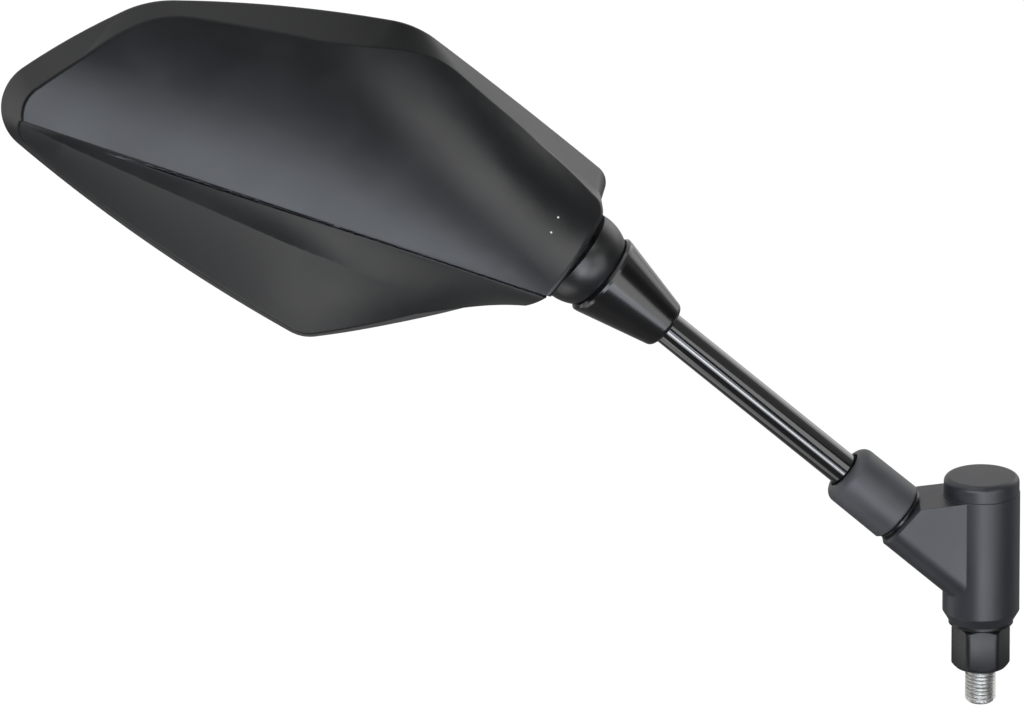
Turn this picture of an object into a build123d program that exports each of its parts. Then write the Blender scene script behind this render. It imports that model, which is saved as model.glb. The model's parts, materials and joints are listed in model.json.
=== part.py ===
from build123d import *
import math
import os

# Motorcycle rear-view mirror, in millimetres.
# Origin: on the stud's axis, level with the underside of the hexagon.
# +Z runs up the stud, -X outboard to the housing, +Y towards the rider's view of the glass.

# Pivot
stud_d = 10.0
stud_length = 12.3
stud_chamfer = 1.2
thread_half_depth = 0.4
thread_mouth = 0.25
shank_d = 12.0
hex_across_flats = 17.0
hex_height = 14.6
base_washer_d = 21.0
base_washer_t = 1.5
barrel_d = 25.0
barrel_height = 43.5
barrel_chamfer = (2.0, 3.4)
cap_edge = 0.2
cap_height = 5.7
cap_round = 2.0
cap_skirt_depth = 4.0
cap_skirt_wall = 1.4
counterbore_gap = 0.6
counterbore_depth = 17.6
bush_wall = 1.4
bush_flange_d = 18.0
bush_flange_t = 1.2
bush_space = 1.9
thrust_washer_t = 1.0
pivot_spring_t = 0.9
pivot_spring_rise = 0.5
bolt_head_d = 16.0
bolt_head_h = 8.0
bolt_socket = 8.0
bolt_socket_depth = 4.5

# Arm
arm_width = 22.4
arm_root = 5.0
arm_lower_round = 8.0
arm_top_fall = 1.7

# Stem
stem_angle = 41.0
stem_root_drop = 30.3
boss_face = 34.7
boss_lower = 9.9
boss_upper = 7.5
boss_edge = 0.8
rod_d = 11.0
stem_thread_d = 10.0
stem_thread_start = 18.5
stem_thread_end = 47.0
stem_neck_d = 7.0
spigot_d = 6.0
stem_washer_d = 18.6
stem_washer_t = 1.0
stem_nut_flats = 14.0
stem_nut_h = 6.0
boot_d = 20.5
boot_wall = 1.7
boot_lift = 1.6
boot_length = 22.7
boot_round = 3.4
boot_mouth = 0.9
boot_mouth_depth = 2.5

# Ball joint, measured along the stem from the ball's centre
ball_reach = 172.5
ball_d = 14.0
seat_wall = 2.0
running_clearance = 0.05
front_seat_polar = (53.0, 82.0)
rear_seat_polar = (98.0, 150.0)
dome_r = 15.4
dome_gap = 0.5
dome_mouth_polar = 40.0
socket_mouth_polar = 47.0
dome_back = 2.6
socket_wall = 1.7
socket_length = 17.6
socket_edge = 1.6
thrust_cup_back = 11.2
thrust_cup_front = 4.6
thrust_cup_hole_d = 7.0
joint_spring_t = 0.7
joint_spring_rise = 0.5
plug_length = 4.0
plug_pin_hole_d = 3.0
plug_pin_spacing = 11.0
cone_start = 8.4
cone_length = 28.5
cone_wide_r = 14.3
cone_narrow_r = 8.0
cone_lip = 0.9
cone_end_round = 2.0

# Socket plate and its screws, in the housing
plate_from = 10.0
plate_to = 49.0
plate_low = -20.0
plate_high = 7.0
plate_back = 4.0
plate_t = 3.0
plate_round = 4.0
socket_screw_rows = (25.0, 43.0)
socket_screw_columns = (-14.0, 1.5)

# Housing: outline corners on the rim plane from the ball's centre, u to the tip and v up
ridge_angle = 17.55
rim_y = 21.0
tip_corner = (201.0, -12.5)
left_corner = (157.0, 38.2)
top_corner = (72.0, 54.8)
end_top_v = 22.0
end_foot_v = -26.0
foot_corner = (74.5, -59.0)
corner_round = (17.0, 30.0, 26.0, 7.0, 6.0, 13.0)
crown_round = (17.0, 90.0, 80.0, 7.0, 6.0, 13.0)
side_crown = (2.4, 2.2, 0.5, 0.01, 1.5, 3.9)
band_inset = (7.7, 8.3, 3.8, 1.3, 6.2, 5.5)
band_height = 12.4
shell_wall = 2.4
back_depth_wall = 2.6
end_setback = 3.0
edge_round = 1.5
rim_round = 1.0
crisp_end_y = -18.0
end_opening_gap = 0.3
end_opening_depth = 8.0
housing_reach = 90.0
section_skirt = 12.0

# Housing back, as sections along u
ridge_u = (7.8, 185.0)
ridge_v = (-8.0, -10.0)
ridge_y = (-24.6, 10.0)
section_u = (-15.0, 25.0, 75.0, 140.0, 175.0, 210.0)
section_step = (2.2, 2.2, 2.0, 1.2, 0.7, 0.3)
upper_end_v = (27.0, 36.0, 55.0, 45.0, 28.0, 8.0)
upper_end_y = (-2.0, 17.5, 17.6, 17.6, 17.1, 19.6)
upper_start_slope = (0.68, 0.2, 0.13, 0.1, 0.07, 0.08)
upper_fullness = (0.6, 0.67, 0.64, 0.55, 0.56, 0.55)
foot_v = (-24.0, -20.0, -23.0, -19.5, -16.0, -13.0)
foot_y = (-18.0, -9.0, 5.0, 9.5, 13.0, 17.0)
lower_end_v = (-30.0, -35.0, -62.0, -46.0, -33.0, -22.0)
lower_end_y = (14.0, 17.0, 16.0, 16.2, 17.0, 19.5)

# Glass
glass_radius = 1400.0
glass_t = 2.2
glass_proud = 0.4
glass_centre_u = 95.0
pocket_inset = 4.0
pocket_depth = 8.0
glass_gap = 0.4
ledge_gap = 0.1
boss_gap = 0.3
pad_t = 0.8
sheet_gap = 0.05
carrier_t = 1.8
pad_margin = 3.0
carrier_margin = (9.9, 0.8, 2.8, 0.8, 1.4, 5.1)
carrier_screw_at = ((74.0, 34.0), (78.0, -28.0), (148.0, 8.0), (108.0, -14.0))
carrier_screw_length = 5.5
carrier_hole_depth = 4.5

# Screws and bosses of the housing
screw_shank_d = 3.0
screw_head_d = 6.6
screw_head_h = 2.2
screw_length = 7.5
screw_clearance = 0.2
plate_hole_d = 4.2
boss_d = 8.0
boss_hole_depth = 6.5

fit = 0.05

# Screwed threads are drawn plain: at the outer diameter where free, half a thread in where engaged.
engaged_r = stud_d / 2 - thread_half_depth

# Heights on the pivot, from the underside of the hexagon
washer_z = hex_height
barrel_z = washer_z + base_washer_t
barrel_top = barrel_z + barrel_height
stem_root_z = barrel_top - stem_root_drop
counterbore_z = barrel_top - counterbore_depth
thrust_z = counterbore_z + bush_flange_t
spring_z = thrust_z + thrust_washer_t
spring_stack = pivot_spring_t + pivot_spring_rise
bolt_head_z = spring_z + 2 * spring_stack
bolt_head_top = bolt_head_z + bolt_head_h
counterbore_d = bush_flange_d + 2 * counterbore_gap
bush_length = (barrel_height - counterbore_depth - bush_space) / 2
bush_inner_r = shank_d / 2 + running_clearance
bush_outer_r = bush_inner_r + bush_wall
bush_bore_r = bush_outer_r + fit

# Radii of the ball joint, working outwards from the ball
ball_r = ball_d / 2
seat_inner_r = ball_r + running_clearance
seat_outer_r = seat_inner_r + seat_wall
socket_inner_r = seat_outer_r + running_clearance
socket_outer_r = socket_inner_r + socket_wall
cup_r = dome_r + dome_gap
spring_back = thrust_cup_back + 2 * (joint_spring_t + joint_spring_rise)
washer_face = boss_face + stem_washer_t
boot_start = boss_face + boot_lift
boot_end = boot_start + boot_length

stem_cos = math.cos(math.radians(stem_angle))
stem_sin = math.sin(math.radians(stem_angle))
ridge_cos = math.cos(math.radians(ridge_angle))
ridge_sin = math.sin(math.radians(ridge_angle))
end_cos = math.cos(math.radians(stem_angle - ridge_angle))
end_sin = math.sin(math.radians(stem_angle - ridge_angle))
ball_centre = (-ball_reach * stem_cos, 0, stem_root_z + ball_reach * stem_sin)

# Stem frame: z along the stem from the barrel's axis.
stem_plane = Plane(origin=(0, 0, stem_root_z), x_dir=(0, 1, 0), z_dir=(-stem_cos, 0, stem_sin))
# Joint frame: z back along the stem from the ball's centre, x the world's Y, y across the stem.
joint_plane = Plane(origin=ball_centre, x_dir=(0, 1, 0), z_dir=(stem_cos, 0, -stem_sin))
# Housing frame: x along the ridge to the tip (u), y up (v), z the world's Y.
housing_plane = Plane(origin=ball_centre, x_dir=(-ridge_cos, 0, ridge_sin), z_dir=(0, 1, 0))


def on_stem(shape):
    """Places a shape drawn along the stem."""
    return stem_plane.location * shape


def on_joint(shape):
    """Places a shape drawn about the ball's centre."""
    return joint_plane.location * shape


def on_housing(shape):
    """Places a shape drawn in the housing's own frame."""
    return housing_plane.location * shape


def turned(*points):
    """A solid of revolution about Z from points given as radius and height."""
    return revolve(Plane.XZ * make_face(Polyline(*points, close=True)), Axis.Z)


def ring(inner_r, outer_r, low, high):
    """A plain ring about Z."""
    return turned((inner_r, low), (outer_r, low), (outer_r, high), (inner_r, high))


def rod(radius, low, high):
    """A plain cylinder about Z."""
    return turned((0, low), (radius, low), (radius, high), (0, high))


def polar(radius, angle):
    """A point at a polar angle from +Z, as radius from the axis and height."""
    turn = math.radians(angle)
    return (radius * math.sin(turn), radius * math.cos(turn))


def sphere_arc(radius, start, end):
    """A profile arc about the origin between two polar angles."""
    return ThreePointArc(polar(radius, start), polar(radius, (start + end) / 2), polar(radius, end))


def sphere_zone(inner_r, outer_r, start, end):
    """A ring cut from a spherical shell between two polar angles."""
    outline = [
        sphere_arc(inner_r, start, end),
        Line(polar(inner_r, end), polar(outer_r, end)),
        sphere_arc(outer_r, end, start),
        Line(polar(outer_r, start), polar(inner_r, start)),
    ]
    return revolve(Plane.XZ * make_face(outline), Axis.Z)


def disc_spring(inner_r, outer_r, thickness, rise, low, flip):
    """One coned spring washer, opening up or down."""
    inner_z = low if flip else low + rise
    outer_z = low + rise if flip else low
    return turned(
        (inner_r, inner_z),
        (outer_r, outer_z),
        (outer_r, outer_z + thickness),
        (inner_r, inner_z + thickness),
    )


def spring_pair(inner_r, outer_r, thickness, rise, low):
    """Two coned washers set rim to rim."""
    first = disc_spring(inner_r, outer_r, thickness, rise, low, True)
    second = disc_spring(inner_r, outer_r, thickness, rise, low + rise + thickness, False)
    return Compound(children=[first, second])


def hexagon(flats, low, high, edge):
    """A hexagonal prism with turned chamfers on both ends."""
    corner_r = flats / math.sqrt(3)
    block = Pos(0, 0, low) * extrude(RegularPolygon(flats / 2, 6, major_radius=False), high - low)
    inner_r = flats / 2 - 0.2
    return block & turned(
        (0, low),
        (inner_r, low),
        (corner_r + 0.5, low + edge),
        (corner_r + 0.5, high - edge),
        (inner_r, high),
        (0, high),
    )


def pivot_bolt():
    """Shoulder bolt: the stud, the pivot's shank on the hexagon and the socket head under the cap."""
    r = stud_d / 2
    head_r = bolt_head_d / 2
    body = turned(
        (0, -stud_length),
        (r - stud_chamfer, -stud_length),
        (r, -stud_length + stud_chamfer),
        (r, 0),
        (engaged_r, 0),
        (engaged_r, hex_height),
        (shank_d / 2, hex_height),
        (shank_d / 2, bolt_head_z),
        (head_r, bolt_head_z),
        (head_r, bolt_head_top - 0.8),
        (head_r - 0.8, bolt_head_top),
        (0, bolt_head_top),
    )
    socket = extrude(RegularPolygon(bolt_socket / 2, 6, major_radius=False), bolt_socket_depth)
    return body - Pos(0, 0, bolt_head_top - bolt_socket_depth) * socket


def base_hex():
    """Hexagon screwed up to the shank, which seats the mirror on its mount."""
    bore_r = engaged_r + fit
    mouth_r = stud_d / 2 + thread_mouth
    mouth = turned((0, -1), (mouth_r + 1, -1), (bore_r, mouth_r - bore_r), (0, mouth_r - bore_r))
    return hexagon(hex_across_flats, 0, hex_height, 1.3) - rod(bore_r, -1, hex_height + 1) - mouth


def base_washer():
    """Ring between the hexagon and the barrel."""
    r = base_washer_d / 2
    return turned(
        (shank_d / 2 + 0.2, washer_z),
        (r - 0.7, washer_z),
        (r, washer_z + 0.5),
        (r, barrel_z),
        (shank_d / 2 + 0.2, barrel_z),
    )


def lower_bush():
    """Flanged bush in the foot of the barrel."""
    return turned(
        (bush_inner_r, barrel_z),
        (bush_flange_d / 2, barrel_z),
        (bush_flange_d / 2, barrel_z + bush_flange_t),
        (bush_outer_r, barrel_z + bush_flange_t),
        (bush_outer_r, barrel_z + bush_length),
        (bush_inner_r, barrel_z + bush_length),
    )


def upper_bush():
    """Flanged bush under the friction stack."""
    return turned(
        (bush_inner_r, counterbore_z - bush_length),
        (bush_outer_r, counterbore_z - bush_length),
        (bush_outer_r, counterbore_z),
        (bush_flange_d / 2, counterbore_z),
        (bush_flange_d / 2, thrust_z),
        (bush_inner_r, thrust_z),
    )


def thrust_washer():
    """Steel washer between the bush and the springs."""
    return ring(bush_inner_r + 0.1, bush_flange_d / 2, thrust_z, spring_z)


def pivot_springs():
    """Two disc springs under the bolt's head."""
    return spring_pair(bush_inner_r + 0.1, bush_flange_d / 2 - 0.3, pivot_spring_t, pivot_spring_rise, spring_z)


def pivot_cap():
    """Cap pressed into the top of the barrel."""
    r = barrel_d / 2 - cap_edge
    top = barrel_top + cap_height
    crown = turned(
        (0, barrel_top),
        (r, barrel_top),
        (r, top),
        (0, top),
    )
    crown = fillet(crown.edges().group_by(Axis.Z)[-1], cap_round)
    skirt_r = counterbore_d / 2 - fit
    skirt = ring(skirt_r - cap_skirt_wall, skirt_r, barrel_top - cap_skirt_depth, barrel_top)
    return crown + skirt


def arm_profile():
    """Side view of the sloping arm, in the plane of the stem."""
    across = (stem_sin, stem_cos)
    face_x = -boss_face * stem_cos
    face_z = stem_root_z + boss_face * stem_sin
    upper = (face_x + across[0] * boss_upper, face_z + across[1] * boss_upper)
    lower = (face_x - across[0] * boss_lower, face_z - across[1] * boss_lower)
    root_x = -arm_root
    root = (root_x, stem_root_z - boss_lower / stem_cos - root_x * stem_sin / stem_cos)
    crown = (root_x, upper[1] + arm_top_fall)
    return make_face(Polyline(crown, upper, lower, root, close=True))


def pivot_arm():
    """Casting with the upright barrel and the sloping boss."""
    side = Plane.XZ * arm_profile()
    web = extrude(side, arm_width / 2, both=True)
    along = Axis((0, 0, 0), (-stem_cos, 0, stem_sin))
    low_edges = web.edges().filter_by(along).sort_by(Axis.Z)[:2]
    web = fillet(low_edges, arm_lower_round)
    face_edges = web.faces().sort_by(along)[-1].edges()
    web = chamfer(face_edges, boss_edge)
    r = barrel_d / 2
    barrel = turned(
        (0, barrel_z),
        (r - barrel_chamfer[0], barrel_z),
        (r, barrel_z + barrel_chamfer[1]),
        (r, barrel_top),
        (0, barrel_top),
    )
    body = barrel + web
    body = body - rod(bush_bore_r, barrel_z - 1, barrel_top + 1)
    body = body - rod(bush_flange_d / 2 + fit, barrel_z - 1, barrel_z + bush_flange_t)
    body = body - rod(counterbore_d / 2, counterbore_z, barrel_top + 1)
    tapped = rod(stem_thread_d / 2, stem_thread_start - 0.5, boss_face + 1)
    return body - on_stem(tapped)


def stem_rod():
    """Rod with its tapped end, its bright shank and the neck that carries the ball."""
    thread_r = stem_thread_d / 2 - fit
    neck_start = ball_reach - cup_r - 1.0
    return on_stem(turned(
        (0, stem_thread_start),
        (thread_r - 1.0, stem_thread_start),
        (thread_r, stem_thread_start + 1.0),
        (thread_r, stem_thread_end),
        (rod_d / 2, stem_thread_end + 0.5),
        (rod_d / 2, neck_start - 1.5),
        (stem_neck_d / 2, neck_start),
        (stem_neck_d / 2, ball_reach - ball_r * 0.8),
        (spigot_d / 2, ball_reach - ball_r * 0.8),
        (spigot_d / 2, ball_reach + ball_r * 0.88),
        (0, ball_reach + ball_r * 0.88),
    ))


def stem_washer():
    """Washer under the stem's lock nut."""
    return on_stem(ring(stem_thread_d / 2 + 0.1, stem_washer_d / 2, boss_face, washer_face))


def stem_nut():
    """Lock nut of the stem."""
    nut = hexagon(stem_nut_flats, washer_face, washer_face + stem_nut_h, 0.8)
    return on_stem(nut - rod(stem_thread_d / 2, washer_face - 1, washer_face + stem_nut_h + 1))


def lock_nut_boot():
    """Sleeve over the lock nut, open at the foot and round at the top."""
    r = boot_d / 2
    cavity_r = r - boot_wall
    cavity_end = washer_face + stem_nut_h + 2.0
    bore_r = rod_d / 2 + fit
    sleeve = turned(
        (bore_r, cavity_end),
        (cavity_r, cavity_end),
        (cavity_r, boot_start),
        (r - 0.5, boot_start),
        (r, boot_start + 0.6),
        (r - 0.15, boot_end),
        (bore_r + boot_mouth, boot_end),
        (bore_r, boot_end - boot_mouth_depth),
    )
    rim = sleeve.edges().filter_by(GeomType.CIRCLE).group_by(Axis.Z)[-1].sort_by(SortBy.RADIUS)[-1]
    return on_stem(fillet(rim, boot_round))


def joint_cone():
    """Gloss cover on the stem, hollowed round the dome."""
    far = cone_start + cone_length
    bore_r = rod_d / 2 + fit
    cover = turned(
        (0, cone_start),
        (cone_wide_r - cone_lip, cone_start),
        (cone_wide_r, cone_start + cone_lip),
        (cone_wide_r - 0.1, cone_start + 2.2 * cone_lip),
        (cone_narrow_r, far),
        (0, far),
    )
    cover = fillet(cover.edges().group_by(Axis.Z)[-1], cone_end_round)
    return on_joint(cover - Sphere(cup_r) - rod(bore_r, 0, far + 1))


def joint_ball():
    """Steel ball on the stem's spigot."""
    ball = Sphere(ball_r) - rod(spigot_d / 2 + fit, -ball_r, ball_r)
    return on_joint(ball - rod(stem_neck_d / 2 + fit, ball_r * 0.8 - fit, ball_r + 1))


def front_seat():
    """Plastic ring between the ball and the socket's mouth."""
    return on_joint(sphere_zone(seat_inner_r, seat_outer_r, *front_seat_polar))


def rear_seat():
    """Plastic ring behind the ball."""
    return on_joint(sphere_zone(seat_inner_r, seat_outer_r, *rear_seat_polar))


def thrust_cup():
    """Cup that carries the spring load to the rear ring."""
    blank = rod(socket_inner_r - fit, -thrust_cup_back, -thrust_cup_front)
    return on_joint(blank - Sphere(socket_inner_r) - rod(thrust_cup_hole_d / 2, -thrust_cup_back - 1, 0))


def joint_springs():
    """Two disc springs behind the cup."""
    outer_r = socket_inner_r - 0.4
    pair = spring_pair(thrust_cup_hole_d / 2 + 0.5, outer_r, joint_spring_t, joint_spring_rise, -spring_back)
    return on_joint(pair)


def socket_plug():
    """Screwed plug with two pin holes, closing the socket."""
    plug = rod(socket_inner_r - fit, -spring_back - plug_length, -spring_back)
    for side in (-1, 1):
        hole = rod(plug_pin_hole_d / 2, -spring_back - plug_length - 1, -spring_back - 1.5)
        plug = plug - Pos(0, side * plug_pin_spacing / 2, 0) * hole
    return on_joint(plug)


def socket_screw_points():
    """Places of the socket's screws, along and across the stem."""
    return [(along, across) for along in socket_screw_rows for across in socket_screw_columns]


def along_y(along, across, radius, low, high):
    """A cylinder along the world's Y, placed by distances along and across the stem."""
    post = Rotation(0, 90, 0) * rod(radius, low, high)
    return Pos(0, across, -along) * post


def socket_body():
    """Domed neck, ball socket and screw plate in one moulding."""
    back_polar = math.degrees(math.acos(-dome_back / dome_r))
    shoulder = polar(dome_r, back_polar)
    outline = [
        sphere_arc(dome_r, dome_mouth_polar, back_polar),
        Polyline(
            shoulder,
            (socket_outer_r, -dome_back),
            (socket_outer_r, -socket_length + socket_edge),
            (socket_outer_r - socket_edge, -socket_length),
            (socket_inner_r, -socket_length),
            (socket_inner_r, 0),
        ),
        sphere_arc(socket_inner_r, 90, socket_mouth_polar),
        Line(polar(socket_inner_r, socket_mouth_polar), polar(dome_r, dome_mouth_polar)),
    ]
    socket = revolve(Plane.XZ * make_face(outline), Axis.Z)
    middle_y = (plate_low + plate_high) / 2
    middle_z = -(plate_from + plate_to) / 2
    plate = Box(plate_t, plate_high - plate_low, plate_to - plate_from)
    plate = fillet(plate.edges().filter_by(Axis.X), plate_round)
    plate = Pos(plate_back + plate_t / 2, middle_y, middle_z) * plate
    plate = plate - rod(socket_outer_r - 0.5, -socket_length, 0)
    for along, across in socket_screw_points():
        plate = plate - along_y(along, across, plate_hole_d / 2, plate_back - 1, plate_back + plate_t + 1)
    return on_joint(socket + plate)


def pan_screw(length):
    """A pan-head screw along Z with the underside of its head at 0."""
    head_r = screw_head_d / 2
    return turned(
        (0, -length),
        (screw_shank_d / 2 - 0.7, -length),
        (screw_shank_d / 2, -length + 1.2),
        (screw_shank_d / 2, 0),
        (head_r, 0),
        (head_r, screw_head_h * 0.6),
        (head_r * 0.7, screw_head_h),
        (0, screw_head_h),
    )


def socket_screws():
    """Screws that hold the socket's plate to the shell."""
    screws = []
    for along, across in socket_screw_points():
        screw = Rotation(0, 90, 0) * pan_screw(screw_length)
        screws.append(on_joint(Pos(plate_back + plate_t, across, -along) * screw))
    return Compound(children=screws)


def end_corner(v):
    """A corner on the housing's end, which stands square to the stem."""
    return ((end_setback - end_sin * v) / end_cos, v)


def rim_corners():
    """Corners of the rim before rounding, from the tip over the top to the end and the foot."""
    end_top = end_corner(end_top_v)
    end_foot = end_corner(end_foot_v)
    return [tip_corner, left_corner, top_corner, end_top, end_foot, foot_corner]


def inset_corners(insets):
    """Corners of the outline with each side moved inwards by its own amount."""
    sharp = rim_corners()
    count = len(sharp)
    lines = []
    for i in range(count):
        start = sharp[i]
        end = sharp[(i + 1) % count]
        du = end[0] - start[0]
        dv = end[1] - start[1]
        length = math.hypot(du, dv)
        normal = (-dv / length, du / length)
        reach = normal[0] * start[0] + normal[1] * start[1]
        lines.append((normal[0], normal[1], reach + insets[i]))
    corners = []
    for i in range(count):
        a, b, c = lines[i - 1]
        d, e, f = lines[i]
        area = a * e - b * d
        corners.append(((c * e - b * f) / area, (a * f - c * d) / area))
    return corners


def outline(insets, rounds=corner_round):
    """The housing's outline, with gently bowed sides and rounded corners."""
    corners = inset_corners(insets)
    count = len(corners)
    sides = []
    for i in range(count):
        sides.append(SagittaArc(corners[i], corners[(i + 1) % count], -side_crown[i]))
    face = make_face(sides)
    for i in range(count):
        radius = max(rounds[i] - max(insets[i - 1], insets[i]) * 0.7, 2.0)
        vertex = face.vertices().sort_by_distance((*corners[i], 0))[0]
        face = fillet(vertex, radius)
    return face


def added(insets, amount):
    """Side insets, all made larger by one amount."""
    return [inset + amount for inset in insets]


def even(amount):
    """The same inset on every side."""
    return [amount] * len(side_crown)


def along_ridge(values, u):
    """A value that changes evenly along the ridge."""
    share = (u - ridge_u[0]) / (ridge_u[1] - ridge_u[0])
    return values[0] + (values[1] - values[0]) * share


def back_section(i, deeper):
    """One section of the housing's back, closed beyond the rim."""
    crest_v = along_ridge(ridge_v, section_u[i])
    crest_y = along_ridge(ridge_y, section_u[i])
    span = upper_end_v[i] - crest_v
    reach = upper_fullness[i] * span
    middle = (crest_v + reach, crest_y + reach * upper_start_slope[i])
    upper_end = (upper_end_v[i], upper_end_y[i])
    step_foot = (crest_v - 0.3, crest_y + section_step[i])
    lower_end = (lower_end_v[i], lower_end_y[i])
    far = housing_reach
    skirt = rim_y + section_skirt / 2
    beyond = rim_y + section_skirt
    edges = [
        Bezier((crest_v, crest_y), middle, upper_end),
        Polyline(upper_end, (far, skirt), (far, beyond), (-far, beyond), (-far, skirt), lower_end),
        Bezier(lower_end, (foot_v[i], foot_y[i]), step_foot),
        Line(step_foot, (crest_v, crest_y)),
    ]
    section = make_face(edges)
    plane = Plane(origin=(section_u[i], 0, deeper), x_dir=(0, 1, 0), z_dir=(1, 0, 0))
    return plane.location * section


def back_form(deeper):
    """Everything on the glass side of the housing's back, moved inwards by the wall."""
    return loft([back_section(i, deeper) for i in range(len(section_u))])


def touches(form, edge):
    """Whether the middle of an edge lies on a form's surface."""
    return min(face.distance_to(edge @ 0.5) for face in form.faces()) < 0.001


def shell_outside():
    """The housing's outer form as one solid, with its long edges rounded."""
    rim = Pos(0, 0, rim_y) * outline(even(0))
    crown = Pos(0, 0, rim_y - band_height) * outline(band_inset, crown_round)
    sides = loft([rim, crown], ruled=True) + extrude(crown, housing_reach, dir=(0, 0, -1))
    back = back_form(0)
    form = sides & back
    border = [edge for edge in form.edges() if touches(sides, edge) and touches(back, edge)]
    soft = [edge for edge in border if edge.length > 1.2 * section_step[0] and (edge @ 0.5).Z > crisp_end_y]
    form = fillet(soft, edge_round)
    return fillet(form.faces().sort_by(Axis.Z)[-1].edges(), rim_round)


def shell_inside():
    """The hollow of the housing behind the glass."""
    opening = Pos(0, 0, rim_y + 1) * outline(added(band_inset, shell_wall), crown_round)
    return extrude(opening, housing_reach, dir=(0, 0, -1)) & back_form(back_depth_wall)


def glass_ball(radius):
    """A ball on the centre of the glass's curve."""
    return Pos(glass_centre_u, 0, rim_y + glass_proud - glass_radius) * Sphere(radius)


def glass_sheet(insets, rounds, outer, inner):
    """A curved sheet between two depths below the glass's face."""
    blank = Pos(0, 0, rim_y - housing_reach / 2) * extrude(outline(insets, rounds), housing_reach)
    return (blank & glass_ball(glass_radius - outer)) - glass_ball(glass_radius - inner)


def sheet_y(u, v, depth):
    """Height of a curved sheet at a place on the glass."""
    off = (u - glass_centre_u) ** 2 + v ** 2
    radius = glass_radius - depth
    return rim_y + glass_proud - glass_radius + math.sqrt(radius ** 2 - off)


def housing_shell():
    """Moulded back shell with its band, ridge, bosses and glass pocket."""
    outside = shell_outside()
    shell = outside - shell_inside()
    pocket = Pos(0, 0, rim_y - pocket_depth) * extrude(outline(even(pocket_inset)), housing_reach)
    shell = shell - (pocket - glass_ball(glass_radius - glass_t - ledge_gap))
    carrier_back = glass_t + pad_t + carrier_t
    for u, v in carrier_screw_at:
        top = sheet_y(u, v, carrier_back) - boss_gap
        shell = shell + ((Pos(u, v, 0) * rod(boss_d / 2, -housing_reach, top)) & outside)
        hole_r = screw_shank_d / 2 + screw_clearance
        shell = shell - Pos(u, v, 0) * rod(hole_r, top - carrier_hole_depth, top + 1)
    to_joint = housing_plane.location.inverse() * joint_plane.location
    for along, across in socket_screw_points():
        boss = to_joint * along_y(along, across, boss_d / 2, -housing_reach, plate_back)
        shell = shell + (boss & outside)
        hole_r = screw_shank_d / 2 + screw_clearance
        shell = shell - to_joint * along_y(along, across, hole_r, plate_back - boss_hole_depth, plate_back + 1)
    mouth = rod(socket_outer_r + end_opening_gap, -end_setback - end_opening_depth, end_opening_depth / 2)
    return on_housing(shell - to_joint * mouth)


def mirror_glass():
    """Convex glass."""
    return on_housing(glass_sheet(even(pocket_inset + glass_gap), corner_round, 0, glass_t))


def carrier_insets():
    """Side insets of the carrier, clear of the shell's wall."""
    return [band + shell_wall + margin for band, margin in zip(band_inset, carrier_margin)]


def glass_pad():
    """Foam sheet between the glass and its carrier."""
    insets = added(carrier_insets(), pad_margin)
    return on_housing(glass_sheet(insets, crown_round, glass_t + sheet_gap, glass_t + pad_t - sheet_gap))


def glass_carrier():
    """Plate that carries the glass, on the shell's bosses."""
    front = glass_t + pad_t
    plate = glass_sheet(carrier_insets(), crown_round, front, front + carrier_t)
    for u, v in carrier_screw_at:
        top = sheet_y(u, v, front)
        plate = plate - Pos(u, v, 0) * rod(plate_hole_d / 2, top - 2 * carrier_t, top + 2 * carrier_t)
    return on_housing(plate)


def carrier_screws():
    """Countersunk screws of the carrier, flush under the pad."""
    screws = []
    for u, v in carrier_screw_at:
        top = sheet_y(u, v, glass_t + pad_t) - 0.15
        screw = turned(
            (0, -carrier_screw_length),
            (screw_shank_d / 2 - 0.7, -carrier_screw_length),
            (screw_shank_d / 2, -carrier_screw_length + 1.2),
            (screw_shank_d / 2, -1.0),
            (plate_hole_d / 2 - fit, -0.4),
            (plate_hole_d / 2 - fit, 0),
            (0, 0),
        )
        screws.append(on_housing(Pos(u, v, top) * screw))
    return Compound(children=screws)


pieces = {
    "pivot_bolt": pivot_bolt,
    "base_hex": base_hex,
    "base_washer": base_washer,
    "lower_bush": lower_bush,
    "upper_bush": upper_bush,
    "thrust_washer": thrust_washer,
    "pivot_springs": pivot_springs,
    "pivot_cap": pivot_cap,
    "pivot_arm": pivot_arm,
    "stem_rod": stem_rod,
    "stem_washer": stem_washer,
    "stem_nut": stem_nut,
    "lock_nut_boot": lock_nut_boot,
    "joint_cone": joint_cone,
    "joint_ball": joint_ball,
    "front_seat": front_seat,
    "rear_seat": rear_seat,
    "thrust_cup": thrust_cup,
    "joint_springs": joint_springs,
    "socket_plug": socket_plug,
    "socket_body": socket_body,
    "socket_screws": socket_screws,
    "housing_shell": housing_shell,
    "glass_carrier": glass_carrier,
    "carrier_screws": carrier_screws,
    "glass_pad": glass_pad,
    "mirror_glass": mirror_glass,
}

os.makedirs("parts", exist_ok=True)
for name, make in pieces.items():
    export_step(make(), "parts/" + name + ".step")
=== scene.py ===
"""Looks of a motorcycle rear-view mirror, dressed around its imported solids.

Every solid gets a finish. Four of them are replaced by a finer form: the stud by one with its cut thread, the
hexagon by one with rounded corners, the shell by one with the facet and groove under its ridge, and the glass
by a pane with a ground edge.
"""

import json
import logging
import math
from dataclasses import dataclass
from enum import Enum

import bmesh
import bpy
from mathutils import Matrix, Vector


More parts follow.
